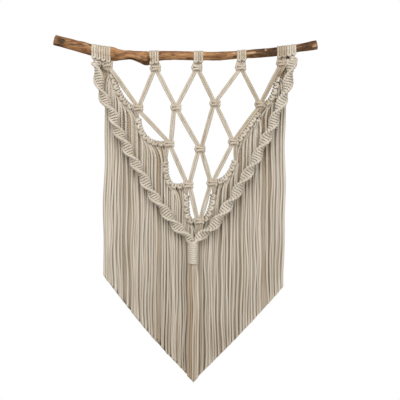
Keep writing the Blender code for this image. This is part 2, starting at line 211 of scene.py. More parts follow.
# Painted shade: the strands behind all the others are painted dark, darkest from their top down to the
# first fold.
BACK_SHADE_TONES, BACK_FOLD = (0.06, 0.24, 0.3, 0.65), (0.15, 0.4)
HEAD_FOLD = (0.45, 0.55)  # between the two strands that one lark's head's cord makes
# How many of a bar's rear strands are painted dark as shade: half of them where nothing is named here.
PAINTED_SHADE_SHARE = {"fringe_right_2": 0.6, "fringe_left_2": 0.25}
# Painted shade: how much darker the cotton is painted, from this far below the branch.
TIP_PAINTED_SHADE = ((380, 470, 560, 640), (0.0, 0.06, 0.3, 0.36))

# The spiral sinnets' routes, (x, z) from the branch to the wrap.
SINNETS = {
    "spiral_left": (
        (-195.5, -9),
        (-190.5, -46),
        (-179, -85),
        (-162, -118),
        (-151.5, -149),
        (-118.5, -211.5),
        (-81, -278),
        (-37, -337),
        (-14, -359),
        (-4.5, -373),
    ),
    "spiral_right": (
        (196.5, -5),
        (189.5, -46),
        (176.5, -88),
        (145, -162),
        (107, -235),
        (68, -298),
        (40, -337),
        (14, -359),
        (0.5, -373),
    ),
}
SINNET_SHARE = {"spiral_left": 1.03, "spiral_right": 1.13}  # how much thicker its outer cords are
SINNET_WIDE, SINNET_DEEP = 8.3, 3.4  # from the axis to the middles of its outer cords
FILLER_X, FILLER_SHARE = 3.0, 1.15  # from the axis to its two fillers, and how much thicker they are
# The lengths down each route at which its flat section is seen edge on, half a turn apart.
NECKS = {
    "spiral_left": (15, 60, 100.5, 136, 171, 206, 243, 281, 319, 356, 394, 432),
    "spiral_right": (28, 70, 110.5, 151, 189, 228, 270, 309, 347, 385, 423, 461),
}
FIRST_FULL = {"spiral_left": 5, "spiral_right": 12}  # and the lengths down to which it faces the front
HALF_KNOT_PITCH = 5.3

# The last knot's four cords hang to the hem behind the wrap.
TIP_CORDS_X, TIP_CORDS_PITCH = 10.5, 4.0
WRAP_X, WRAP_TOP, WRAP_BOTTOM = -2.0, -369.0, -418.0
WRAP_RADIUS = 7.8  # from its axis to the middle of the cord
WRAP_TURNS, TURN_POINTS = 10, 12  # and the points that draw each turn
WRAP_SHARE = 1.12  # how much thicker its cord is, so that the turns close up
TAIL_STRANDS = 9
TAIL_SPREAD = 9.0  # from its middle to its outermost strand
TAIL_LAYERS = (-24.2, -18.6)

CAMERA_AT = (12, -1907, -288)  # opposite the photo's centre, and so far off that 1 px is 2 mm at the branch
LENS = 85
# In metres: each lamp's place, what it points at and its size, then its power in watts.
LIGHTS = {
    "key": ((-0.5, -1.25, 0.7), (0, 0, -0.1), 1.5, 18.4),
    "fill": ((1.2, -1.9, 0.45), (0, 0, -0.2), 1.4, 17.3),
}
FLOOR = ((-2.5, -3, -0.80), (2.5, -3, -0.80), (2.5, 0.5, -0.80), (-2.5, 0.5, -0.80))  # its corners


# ---------------------------------------------------------------- curves
def catmull(points, per):
    """A Catmull-Rom curve through the rows of points, per steps for each stretch."""
    p = np.asarray(points, float)
    p = np.vstack([2 * p[0] - p[1], p, 2 * p[-1] - p[-2]])
    t = (np.arange(per) / per)[:, None]
    found = []
    for a, b, c, d in zip(p, p[1:], p[2:], p[3:]):
        bent = t * t * (2 * a - 5 * b + 4 * c - d) + t**3 * (3 * b - a - 3 * c + d)
        found.append(0.5 * (2 * b + t * (c - a) + bent))
    return np.vstack([*found, p[-2:-1]])


def evenly(points, step):
    """Rows along the polyline, about step apart by their first three columns, ends included."""
    lengths = np.concatenate([[0], np.cumsum(np.linalg.norm(np.diff(points[:, :3], axis=0), axis=1))])
    count = max(2, round(lengths[-1] / step) + 1)
    want = np.linspace(0, lengths[-1], count)
    return np.column_stack([np.interp(want, lengths, column) for column in points.T]), want


def bend(start, corner, end, steps=60):
    """A curve from start to end, drawn towards the corner."""
    start, corner, end = (np.array(p, float) for p in (start, corner, end))
    t = np.linspace(0, 1, steps + 1)[:, None]
    return (1 - t) ** 2 * start + 2 * t * (1 - t) * corner + t * t * end


BRANCH_AXIS = catmull(BRANCH, 8)


def branch_at(x):
    """(z, radius) of the branch's axis at x."""
    z = np.interp(x, BRANCH_AXIS[:, 0], BRANCH_AXIS[:, 1])
    return float(z), float(np.interp(x, BRANCH_AXIS[:, 0], BRANCH_AXIS[:, 2]))


def hem(x):
    """The height of the hem at x, which may be an array."""
    left = np.asarray(x) < HEM_TIP[0]
    side_x, side_z = (np.where(left, HEM_LEFT[i], HEM_RIGHT[i]) for i in (0, 1))
    share = (x - HEM_TIP[0]) / (side_x - HEM_TIP[0])
    bulge = np.where(left, HEM_BULGE_LEFT, HEM_BULGE_RIGHT) * np.sin(math.pi * np.minimum(share, 1.0))
    return HEM_TIP[1] + share * (side_z - HEM_TIP[1]) - bulge


# ---------------------------------------------------------------- rope
class Ropes:
    """Gathers twisted cords and turns them into one mesh object."""

    def __init__(self, name):
        self.name = name
        self.points, self.faces, self.caps, self.uvs, self.tones = [], [], [], [], []
        self.base = 0

    def add(self, route, tones, folds=(0.0,), step=KNOT_STEP, smooth=6, hangs=False):
        """A cord along the route, whose rows are x, y, z and its thickness as a share of its own. tones
        are its lightness at the folds, shares of its length. One that hangs is cut along the hem."""
        rows, along = evenly(catmull(route, smooth), step)
        centre, scale = rows[:, :3], rows[:, 3] * CORD / 2
        count = len(rows)
        tangent = np.gradient(centre, axis=0)
        tangent /= np.linalg.norm(tangent, axis=1)[:, None]
        ends = centre[0] - tangent[0] * END_REACH, centre[-1] + tangent[-1] * END_REACH
        centre = np.vstack([ends[0], centre, ends[1]])
        tangent = np.vstack([tangent[0], tangent, tangent[-1]])
        last_share = CUT_SHARE if hangs else END_SHARE
        scale = np.concatenate([[scale[0] * END_SHARE], scale, [scale[-1] * last_share]])
        along = np.concatenate([[along[0]], along, [along[-1]]])
        side = np.zeros((count + 2, 3))
        start = np.array([0.0, 1.0, 0.0]) if abs(tangent[0][1]) < 0.9 else np.array([1.0, 0.0, 0.0])
        for i, t in enumerate(tangent):
            start = start - t * start.dot(t)
            start /= math.sqrt(start.dot(start))
            side[i] = start
        other = np.cross(tangent, side)
        phase = rng.uniform(0, math.tau)
        twist = phase + along / LAY * math.tau
        angle = twist[:, None] + np.arange(RING_POINTS)[None, :] * math.tau / RING_POINTS
        outline = np.array(PLY_OUTLINE * 3)[None, :] * scale[:, None]
        ring = (
            centre[:, None, :]
            + side[:, None, :] * (np.cos(angle) * outline)[:, :, None]
            + other[:, None, :] * (np.sin(angle) * outline)[:, :, None]
        )
        if hangs:
            # Rings past the hem are flattened onto it. The first closes the cord, the rest are left out.
            cut = hem(ring[:, :, 0]) + rng.uniform(-CUT_UNEVEN, CUT_UNEVEN)
            hanging = np.flatnonzero((ring[:, :, 2] > cut).any(axis=1))
            kept = slice(max(0, hanging[0] - 1), hanging[-1] + 2)
            ring[:, :, 2] = np.maximum(ring[:, :, 2], cut)
            ring, centre, along = ring[kept], centre[kept], along[kept]
        total = len(ring)
        self.points.append(ring.reshape(-1, 3))
        # Below this far, painted shade darkens the cotton towards the hem.
        own = np.interp(along / along[-1], folds, tones) * (1 - np.interp(-centre[:, 2], *TIP_PAINTED_SHADE))
        self.tones.append(np.repeat(own, RING_POINTS))
        i, k = np.meshgrid(np.arange(total - 1), np.arange(RING_POINTS), indexing="ij")
        k2 = (k + 1) % RING_POINTS
        this, following = i * RING_POINTS, (i + 1) * RING_POINTS
        quad = np.stack([this + k, this + k2, following + k2, following + k], -1)
        self.faces.append(quad.reshape(-1, 4) + self.base)
        u = k / RING_POINTS
        v0, v1 = along[i] / LAY + phase, along[i + 1] / LAY + phase
        u1 = (k + 1) / RING_POINTS
        self.uvs.append(np.stack([u, v0, u1, v0, u1, v1, u, v1], -1).reshape(-1, 2))
        first = np.arange(RING_POINTS)[::-1] + self.base
        last = np.arange(RING_POINTS) + self.base + (total - 1) * RING_POINTS
        self.caps += [first, last]
        self.base += total * RING_POINTS

    def build(self, material, *nodes):
        points = np.vstack(self.points) * MM
        quads = np.vstack(self.faces)
        caps = np.array(self.caps)
        mesh = bpy.data.meshes.new(self.name)
        mesh.vertices.add(len(points))
        mesh.vertices.foreach_set("co", points.astype(np.float32).ravel())
        loops = np.concatenate([quads.ravel(), caps.ravel()]).astype(np.int32)
        mesh.loops.add(len(loops))
        mesh.loops.foreach_set("vertex_index", loops)
        cap_starts = len(quads) * 4 + np.arange(len(caps)) * RING_POINTS
        starts = np.concatenate([np.arange(len(quads)) * 4, cap_starts])
        mesh.polygons.add(len(starts))
        mesh.polygons.foreach_set("loop_start", starts.astype(np.int32))
        uv = np.vstack([*self.uvs, np.zeros((caps.size, 2))]).astype(np.float32)
        mesh.uv_layers.new(name="ply").data.foreach_set("uv", uv.ravel())
        # The tone holds each cord's own lightness together with painted shade.
        mesh.attributes.new("tone", "FLOAT", "POINT").data.foreach_set("value", np.concatenate(self.tones))
        mesh.polygons.foreach_set("use_smooth", np.ones(len(starts), bool))
        mesh.update(calc_edges=True)
        mesh.validate()
        mesh.materials.append(material)
        made = bpy.data.objects.new(self.name, mesh)
        bpy.context.scene.collection.objects.link(made)
        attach(made, "root")
        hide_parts(*nodes)
        return made


# ---------------------------------------------------------------- materials
def node_maker(material):
    """Two functions for the material's emptied tree: one makes a node, the other links two sockets."""
    material.use_nodes = True
    tree = material.node_tree
    tree.nodes.clear()

    def make(kind, **settings):
        made = tree.nodes.new(kind)
        for name, value in settings.items():
            if name in made.inputs:
                made.inputs[name].default_value = value
            else:
                setattr(made, name, value)
        return made

    return make, tree.links.new


def feed(link, socket, value):
    """Sets a socket to a number or colour, or links it to another node's output."""
    if isinstance(value, (int, float, tuple)):
        socket.default_value = value
    else:
        link(value, socket)


def ramp(make, link, source, stops):
    made = make("ShaderNodeValToRGB")
    elements = made.color_ramp.elements
    while len(elements) < len(stops):
        elements.new(0.5)
    for element, (at, colour) in zip(elements, stops):
        element.position = at
        element.color = (*colour, 1)
    link(source, made.inputs["Fac"])
    return made.outputs["Color"]


def math_node(make, link, operation, *values):
    made = make("ShaderNodeMath", operation=operation)
    for socket, value in zip(made.inputs, values):
        feed(link, socket, value)
    return made.outputs[0]


def mix_node(make, link, blend, factor, a, b):
    made = make("ShaderNodeMix", data_type="RGBA", blend_type=blend)
    for name, value in (("Factor", factor), ("A", a), ("B", b)):
        feed(link, made.inputs[name], value)
    return made.outputs["Result"]


def cotton_material():
    """Undyed cotton: pale ridges, painted shade in the warm grooves between the plies, fine yarn along
    them.
    """
    made = bpy.data.materials.new("cotton_cord_scene")
    make, link = node_maker(made)
    out = make("ShaderNodeOutputMaterial")
    shader = make("ShaderNodeBsdfPrincipled", Roughness=0.95)
    shader.inputs["Specular IOR Level"].default_value = 0.15
    shader.inputs["Sheen Weight"].default_value = 0.25
    shader.inputs["Sheen Roughness"].default_value = 0.6
    link(shader.outputs[0], out.inputs["Surface"])
    uv = make("ShaderNodeUVMap", uv_map="ply")
    split = make("ShaderNodeSeparateXYZ")
    link(uv.outputs[0], split.inputs[0])
    # u runs once round the cord, so three cosine waves follow its three plies.
    angle = math_node(make, link, "MULTIPLY", split.outputs["X"], 3 * math.tau)
    wave = math_node(make, link, "COSINE", angle)
    ridge = math_node(make, link, "MULTIPLY_ADD", wave, 0.5, 0.5)
    # Painted shade: the grooves between the plies are darker and warmer than the ridges.
    groove_shade_to_ridge = ((0.0, (0.63, 0.565, 0.475)), (0.40, (0.71, 0.65, 0.56)), (1.0, (0.75, 0.695, 0.605)))
    colour = ramp(make, link, ridge, groove_shade_to_ridge)
    place = make("ShaderNodeTexCoord")
    stretch = make("ShaderNodeMapping", Scale=(140, 140, 9))
    link(place.outputs["Object"], stretch.inputs["Vector"])
    streaks = make("ShaderNodeTexNoise", Scale=1.0, Detail=3.0)
    link(stretch.outputs[0], streaks.inputs["Vector"])
    tone = ramp(make, link, streaks.outputs["Fac"], ((0.30, (0.80, 0.77, 0.72)), (0.70, (1.0, 1.0, 1.0))))
    # Each cord is a little lighter or darker than the next. The dark, brown end of this ramp is painted
    # shade, for strands behind the others and the cotton near the hem.
    own = make("ShaderNodeAttribute", attribute_name="tone")
    shaded_to_pale = ((0.0, (0.56, 0.44, 0.31)), (0.5, (0.90, 0.86, 0.80)), (1.0, (1.06, 1.06, 1.06)))
    cord_tone_and_shade = ramp(make, link, own.outputs["Fac"], shaded_to_pale)
    for layer in (tone, cord_tone_and_shade):
        colour = mix_node(make, link, "MULTIPLY", 1.0, colour, layer)
    link(colour, shader.inputs["Base Color"])
    # Yarn: fine lines that run along each ply, turned against the cord's own lay.
    shear = make("ShaderNodeMapping", Scale=(26, 5, 1), Rotation=(0, 0, 0.25))
    link(uv.outputs[0], shear.inputs["Vector"])
    yarn = make("ShaderNodeTexNoise", Scale=2.0, Detail=4.0)
    link(shear.outputs[0], yarn.inputs["Vector"])
    bump = make("ShaderNodeBump", Strength=0.5, Distance=0.0006)
    link(yarn.outputs["Fac"], bump.inputs["Height"])
    link(bump.outputs[0], shader.inputs["Normal"])
    return made


def driftwood_material():
    """Peeled, weathered wood: orange tan with long darker streaks, and dark and pale marks."""
    made = bpy.data.materials.new("driftwood_scene")
    make, link = node_maker(made)
    out = make("ShaderNodeOutputMaterial")
    shader = make("ShaderNodeBsdfPrincipled", Roughness=0.62)
    shader.inputs["Specular IOR Level"].default_value = 0.35
    link(shader.outputs[0], out.inputs["Surface"])
    place = make("ShaderNodeTexCoord")

    def field(scale, detail, rough, distortion=0.0, at=(0, 0, 0)):
        stretch = make("ShaderNodeMapping", Scale=scale, Location=at)
        link(place.outputs["Object"], stretch.inputs["Vector"])
        texture = make("ShaderNodeTexNoise", Scale=1.0, Detail=detail, Roughness=rough)
        texture.inputs["Distortion"].default_value = distortion
        link(stretch.outputs[0], texture.inputs["Vector"])
        return texture.outputs["Fac"]

    tan = ramp(
        make,
        link,
        field((26, 120, 120), 6, 0.62, 1.0),
        (
            (0.30, (0.105, 0.045, 0.018)),
            (0.44, (0.25, 0.115, 0.042)),
            (0.58, (0.43, 0.218, 0.088)),
            (0.72, (0.56, 0.325, 0.16)),
        ),
    )
    streak = ramp(
        make,
        link,
        field((9, 260, 260), 6, 0.7, 0.4, (3, 1, 2)),
        ((0.36, (0.30, 0.24, 0.20)), (0.50, (1.0, 1.0, 1.0))),
    )
    colour = mix_node(make, link, "MULTIPLY", 0.7, tan, streak)
    # The marks' strength comes from the mesh: above 0 in a knot or a hollow, below 0 where the wood is
    # bare and pale. The grain breaks up their edges.
    marks = make("ShaderNodeAttribute", attribute_name="marks")
    broken = field((30, 420, 420), 4, 0.6, 0.3, (7, 2, 5))
    lowered = math_node(make, link, "SUBTRACT", marks.outputs["Fac"], 0.65)
    uneven = math_node(make, link, "MULTIPLY_ADD", broken, 1.3, lowered)
    dark_colours = ((0.36, (0.03, 0.0125, 0.003)), (0.64, (0.11, 0.051, 0.014)))
    mottled = ramp(make, link, field((90, 160, 160), 4, 0.7), dark_colours)
    # The pale marks first, then the dark ones.
    for gain, offset, mark_colour in ((-2.2, -0.45, (0.50, 0.34, 0.21, 1)), (2.4, -0.6, mottled)):
        strength = math_node(make, link, "MULTIPLY_ADD", uneven, gain, offset)
        strength.node.use_clamp = True
        colour = mix_node(make, link, "MIX", strength, colour, mark_colour)
    link(colour, shader.inputs["Base Color"])
    bump = make("ShaderNodeBump", Strength=0.6, Distance=0.0012)
    link(field((26, 330, 330), 6, 0.65), bump.inputs["Height"])
    link(bump.outputs[0], shader.inputs["Normal"])
    return made


# ---------------------------------------------------------------- branch
BRANCH_SIDES = 56
BRANCH_STEP = 2.4
MARK_REACH = 1.6  # where a mark has faded out, in its own lengths
# Rings of a sawn end, inwards: the share of the branch's own, how far out, and darkness.
END_RINGS = ((0.93, 0.7, 0.25), (0.6, 0.9, 0.25), (0.25, 0.8, 0.65))
# Marks on the branch: x, angle round it from the front in degrees (90 is the top), length along it,
# length round it in degrees, depth in mm (a bump where negative), darkness (paler where negative).
BRANCH_MARKS = (
    (-262, 2, 5.2, 30, 1.1, 1.8),
    (-266, 6, 9, 110, 0.2, 0.66),
    (-260, 72, 5, 22, 0.4, 0.9),
    (-266, -66, 9, 26, 0.2, 0.8),
    (-241, -6, 8, 9, 0.3, 0.8),
    (-234, 2, 4, 7, 0.2, 0.6),
    (-226, 22, 10, 6, 0.3, 0.75),
    (-220, 44, 9, 12, -0.5, -0.7),
    (-206, 56, 7, 16, 1.3, 1.1),
    (-222, 84, 9, 30, -0.9, -0.4),
    (-163, 85, 8, 40, -1.3, 0.35),
    (-152, -8, 6, 10, 0.4, 0.55),
    (-158, -50, 10, 16, 0.4, 0.5),
    (-136, 28, 4, 10, 0.5, 0.6),
    (-139, 82, 5, 20, 0.7, 0.8),
    (-114, 60, 6, 14, 0.6, 0.7),
    (-126, -60, 14, 13, 0.8, 1.0),
    (-112, -54, 13, 15, 0.9, 1.1),
    (-96, -52, 6, 22, 0.4, 1.1),
    (-91, -16, 3, 50, 0.2, 0.8),
    (-104, 2, 7, 12, 0.5, 0.6),
    (-110, -16, 9, 10, -0.5, -0.5),
    (-67, 20, 3, 16, 0.6, 0.8),
    (-57, 24, 4, 9, 0.3, 0.6),
    (-42, -4, 5, 9, 0.5, 0.75),
    (-50, -30, 9, 7, 0.3, 0.45),
    (-22, 30, 5, 10, 0.4, 0.5),
    (-10, -40, 9, 11, 0.6, 0.9),
    (22, 42, 5, 9, 0.3, 0.45),
    (34, 72, 7, 12, 0.4, 0.5),
    (51, -36, 6, 11, 0.5, 0.7),
    (70, -12, 12, 8, 0.3, 0.5),
    (68, -26, 12, 7, -0.3, -0.5),
    (81, -36, 5, 26, 0.5, 0.9),
    (80, 22, 7, 12, -0.2, -0.9),
    (112, -44, 10, 18, 0.3, 0.9),
    (115, 6, 13, 18, -0.2, -0.8),
    (131, -36, 9, 16, 0.3, 0.95),
    (128, 66, 12, 16, 0.2, 0.75),
    (136, 8, 9, 16, 0.3, 0.7),
    (136, 0, 14, 120, 0.1, 0.55),
    (140, 0, 34, 200, 0.0, 0.68),
    (144, 30, 2.2, 40, -0.2, -0.9),
    (156, 0, 12, 170, 0.2, 1.1),
    (212, 24, 14, 6, 0.3, 0.8),
    (216, -8, 16, 7, 0.3, 0.9),
    (214, -34, 18, 8, 0.2, 0.8),
    (222, 0, 32, 200, 0.1, 0.66),
    (208, 44, 12, 8, -0.2, -0.8),
    (210, 8, 12, 5, -0.2, -0.8),
    (240, 62, 7, 24, 0.2, 1.1),
    (236, 22, 8, 10, 0.3, 0.8),
    (239, -20, 7, 14, -0.2, -0.9),
)


def make_branch(material):
    """The driftwood branch: a lofted tube with bumps, pits and flattened, sawn ends."""
    x, z_and_radius = BRANCH_AXIS[:, 0], BRANCH_AXIS[:, 1:]
    rows, _ = evenly(np.column_stack([x, np.full(len(x), BRANCH_Y), z_and_radius]), BRANCH_STEP)
    shape = bmesh.new()
    layer = shape.verts.layers.float.new("marks")
    rings = []
    tangent = np.gradient(rows[:, :3], axis=0)
    for row, t in zip(rows, tangent):
        x, y, z, radius = row
        t = Vector(t).normalized()
        up = Vector((0, 0, 1))
        up = (up - t * up.dot(t)).normalized()
        front = Vector((0, -1, 0))
        ring = []
        for k in range(BRANCH_SIDES):
            angle = math.tau * k / BRANCH_SIDES
            around = front * math.cos(angle) + up * math.sin(angle)
            seed = Vector((x * 0.018, math.cos(angle) * 0.9, math.sin(angle) * 0.9))
            lump = noise.noise(seed) * 0.6 + noise.noise(seed * 2.7 + Vector((5, 0, 0))) * 0.5
            lump += noise.noise(seed * 7.0 + Vector((0, 3, 0))) * 0.3
            grain = noise.noise(Vector((x * 0.03, math.cos(angle) * 5, math.sin(angle) * 5))) * 0.18
            r = radius + lump + grain
            mark = 0.0
            for mx, ma, length, spread, depth, darkness in BRANCH_MARKS:
                turn = (math.degrees(angle) - ma + 180) % 360 - 180
                d = math.hypot((x - mx) / length, turn / spread)
                if d < MARK_REACH:
                    near = 1 - d / MARK_REACH
                    near = near * near * (3 - 2 * near)
                    r -= depth * near
                    mark = mark if abs(mark) > abs(darkness * near) else darkness * near
            vert = shape.verts.new((Vector((x, y, z)) + around * r) * MM)
            vert[layer] = mark
            ring.append(vert)
        rings.append(ring)
    for a, b in zip(rings, rings[1:]):
        for k in range(BRANCH_SIDES):
            m = (k + 1) % BRANCH_SIDES
            shape.faces.new((a[k], b[k], b[m], a[m]))
    for ring, sign in ((rings[0], -1), (rings[-1], 1)):
        inner = ring
        centre = sum((v.co for v in ring), Vector()) / BRANCH_SIDES
        for share, out, darkness in END_RINGS:
            new = []
            for v in ring:
                at = centre + (v.co - centre) * share
                at.x += sign * out * MM
                made = shape.verts.new(at)
                made[layer] = darkness
                new.append(made)
            for k in range(BRANCH_SIDES):
                m = (k + 1) % BRANCH_SIDES
                shape.faces.new((inner[k], new[k], new[m], inner[m]))
            inner = new
        shape.faces.new(inner)
    bmesh.ops.recalc_face_normals(shape, faces=shape.faces)
    mesh = bpy.data.meshes.new("driftwood_branch")
    shape.to_mesh(mesh)
    shape.free()
    mesh.materials.append(material)
    mesh.shade_smooth()
    made = bpy.data.objects.new("driftwood_branch", mesh)
    bpy.context.scene.collection.objects.link(made)
    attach(made, "root")
    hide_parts("branch")
    return made


# ---------------------------------------------------------------- knots
def lark_half(x0, side, leg_x, leg_y, leg_z):
    """Half of a lark's head on the branch: from the middle of its bar, over the branch and down behind
    the bar to the leg. x0 is the middle of the head and side is -1 or 1."""
    z, radius = branch_at(x0)
    wind = radius - 0.4
    x = x0 + side * TURN_PITCH / 2
    bar_y, bar_z = BRANCH_Y - radius * 0.62, z - radius - BAR_HANG

    def at(x, degrees, r, scale):
        a = math.radians(degrees)
        return (x, BRANCH_Y - r * math.cos(a), z + r * math.sin(a), scale)

    rows = [(x0, bar_y - 1.6, bar_z, 1.02), (x0 + side * 1.7, bar_y - 1.5, bar_z, 1.02)]
    rows.append((x + side * 0.3, bar_y - 1.2, bar_z + 2.2, 1.02))
    rows += [at(x, degrees, wind, 1.02) for degrees in (-34, -12, 12, 36, 66, 96, 126, 156, 186, 216, 244)]
    rows.append(at(x, 268, wind, 0.9))
    rows.append(((x + leg_x) / 2, (leg_y + BRANCH_Y) / 2, min(z - wind - 2.5, (z - wind + leg_z) / 2), 0.9))
    return rows


# A square knot's four cords, from its top to its bottom: (across, front to back, up) from its middle.
# The filler cords run straight through. One working cord makes both front bars; the other passes behind
# the fillers, round its ends.
KNOT_CORDS = (
    (
        (-5.0, 0.2, 7.5),
        (-5.7, -0.8, 5.2),
        (-4.3, -3.6, 3.3),
        (0.0, -4.7, 2.5),
        (4.0, -3.6, 1.9),
        (5.9, 0.2, 0.4),
        (5.7, -0.4, -0.9),
        (4.2, -3.4, -1.9),
        (0.0, -4.7, -2.5),
        (-4.3, -3.6, -3.3),
        (-5.7, -0.8, -5.2),
        (-5.0, 0.2, -7.5),
    ),
    ((-1.8, 0.2, 7.5), (-1.7, 0.0, 3.0), (-1.7, 0.0, -3.0), (-1.8, 0.2, -7.5)),
    ((1.8, 0.2, 7.5), (1.7, 0.0, 3.0), (1.7, 0.0, -3.0), (1.8, 0.2, -7.5)),
    (
        (5.0, 0.2, 7.5),
        (6.2, -1.6, 5.0),
        (6.5, -3.6, 2.5),
        (5.4, 0.8, 0.9),
        (2.6, 3.6, 1.2),
        (-2.6, 3.8, 1.6),
        (-5.6, 1.8, 1.7),
        (-6.8, -2.2, 1.3),
        (-6.9, -3.2, 0.0),
        (-6.8, -2.2, -1.3),
        (-5.6, 1.8, -1.7),
        (-2.6, 3.8, -1.6),
        (2.6, 3.6, -1.2),
        (5.4, 0.8, -0.9),
        (6.5, -3.6, -2.5),
        (6.2, -1.6, -5.0),
        (5.0, 0.2, -7.5),
    ),
)


def knot_rows(knot, cord, skip_top=False):
    """One cord's rows through a square knot. Cords 1 and 2 are its fillers."""
    x, z = knot
    share = KNOT_SHARE[cord in (1, 2)]
    rows = [(x + a * KNOT_WIDE, NET_Y + b, z + c, share) for a, b, c in KNOT_CORDS[cord]]
    rows[0] = (*rows[0][:3], 1.0)
    rows[-1] = (*rows[-1][:3], 1.0)
    return rows[1:] if skip_top else rows


def net_cord(ropes, column, cord):
    """One cord of the net from its lark's head to where it leaves the net."""
    start = column
    x0 = NET_GROUPS[column] + (-1 if cord < 2 else 1) * TURN_PITCH
    side = -1 if cord % 2 == 0 else 1
    knot = KNOT_ROWS[0][column]
    entry = KNOT_CORDS[cord][0]
    rows = lark_half(x0, side, knot[0] + entry[0] * KNOT_WIDE, NET_Y, knot[1] + entry[2])
    row = 0
    at_tip = False
    while True:
        rows += knot_rows(KNOT_ROWS[row][column], cord, skip_top=row == 0)
        right = cord >= 2
        if row == len(KNOT_ROWS) - 1:
            at_tip = True
            x = TIP_CORDS_X + (cord - 1.5) * TIP_CORDS_PITCH
            layer = FRONT_FRINGE_Y - 0.8 * (cord % 2)
            root = rows[-1]
            rows.append((x, (NET_Y + layer) / 2, root[2] - 14, 1.0))
            rows += strand_rows((x, layer, root[2]), x, layer, hem(x) - PAST_HEM, 0.6)
            break
        below = column if right else column - 1
        if not 0 <= below < len(KNOT_ROWS[row + 1]):
            side_name = "right" if right else "left"
            name = f"fringe_{side_name}_{row + 1}"
            leave, begin, corner, end, _ = FESTOONS[name]
            spread = (-1 if cord % 2 == 0 else 1) * CARRIER_SPREAD
            middle_x, middle_z = (leave[0] + begin[0]) / 2, (leave[1] + begin[1]) / 2
            rows.append((middle_x + spread * 1.1, (NET_Y + BAR_Y) / 2, middle_z, 1.0))
            bar_y = BAR_Y - BAR_FORWARD.get(name, 0.0)
            rows.append((begin[0] + spread * 0.5, bar_y, begin[1] - 2, 0.7))
            for x, z in bend(begin, corner, end, 8)[2:]:
                rows.append((x + spread * 0.3, bar_y, z, 0.5))
            break
        lower = KNOT_ROWS[row + 1][below]
        upper = rows[-1]
        next_cord = cord - 2 if right else cord + 2
        entry = KNOT_CORDS[next_cord][0]
        target = (lower[0] + entry[0] * KNOT_WIDE, NET_Y + entry[1], lower[1] + entry[2])
        along = Vector((target[0] - upper[0], 0, target[2] - upper[2])).normalized()
        across = Vector((-along.z, 0, along.x)) if right else Vector((along.z, 0, -along.x))
        outward = 1 if cord in (0, 3) else -1
        bow = outward * (PAIR_BOW + rng.uniform(-0.3, 0.3))
        wander = rng.uniform(-0.5, 0.5)
        for share in (0.22, 0.5, 0.78):
            lift = 4 * share * (1 - share)
            x = upper[0] + share * (target[0] - upper[0]) + across.x * (bow * lift + wander * (share - 0.5))
            z = upper[2] + share * (target[2] - upper[2]) + across.z * (bow * lift + wander * (share - 0.5))
            rows.append((x, NET_Y + rng.uniform(-0.4, 0.4), z, 1.0))
        row, column, cord = row + 1, below, next_cord
    # The right-hand group's cords get painted shade: darker tones.
    ranges = RIGHT_NET_SHADE_TONES if start == len(NET_GROUPS) - 1 else NET_TONES
    tones = [rng.uniform(*ranges[:2]), rng.uniform(*ranges[2:])]
    if not at_tip:
        tones[1] = tones[0]
    ropes.add(rows, tones, NET_FOLD, hangs=at_tip)


def make_net(material):
    """The net: each of its 20 cords is followed from the branch, knot by knot, to where it ends."""
    ropes = Ropes("net_cords")
    for column in range(len(NET_GROUPS)):
        for cord in range(4):
            net_cord(ropes, column, cord)
    return ropes.build(material, "net")


# ---------------------------------------------------------------- sinnets
def along_route(route, depth):
    """A function that gives the place and the sideways direction at a length down the route."""
    flat = np.array(route, float) @ np.array([[1, 0, 0], [0, 0, 1]])
    rows, lengths = evenly(catmull(flat, 8), 1.0)
    tangent = np.gradient(rows, axis=0)
    tangent /= np.linalg.norm(tangent, axis=1)[:, None]
    total = lengths[-1]

    def at(s):
        inside = min(max(s, 0.0), total)
        place = np.array([np.interp(inside, lengths, rows[:, i]) for i in range(3)])
        t = np.array([np.interp(inside, lengths, tangent[:, i]) for i in range(3)])
        t /= np.linalg.norm(t)
        place += t * (s - inside)
        place[1] = depth(s / total)
        return place, np.array([-t[2], 0.0, t[0]]), t

    return at, total


# One cord of a half-knot sinnet over two half knots, in its own turning frame: (across as a share of
# the half width, front to back as a share of the half depth, half knots down, thickness).
HALF_KNOT_PATH = (
    (-0.58, -0.98, -0.06, 0.96),
    (-0.20, -1.08, 0.00, 0.98),
    (0.25, -1.08, 0.05, 0.98),
    (0.66, -0.84, 0.12, 0.96),
    (0.98, -0.50, 0.30, 1.0),
    (1.06, -0.50, 0.62, 1.04),
    (1.02, -0.50, 0.94, 1.0),
    (0.86, 0.10, 1.10, 0.94),
    (0.45, 0.90, 1.08, 0.92),
    (-0.10, 1.05, 1.02, 0.92),
    (-0.60, 0.84, 1.04, 0.92),
    (-0.96, 0.20, 1.14, 0.94),
    (-1.05, -0.40, 1.36, 1.0),
    (-1.06, -0.56, 1.64, 1.04),
    (-0.94, -0.80, 1.86, 1.0),
)


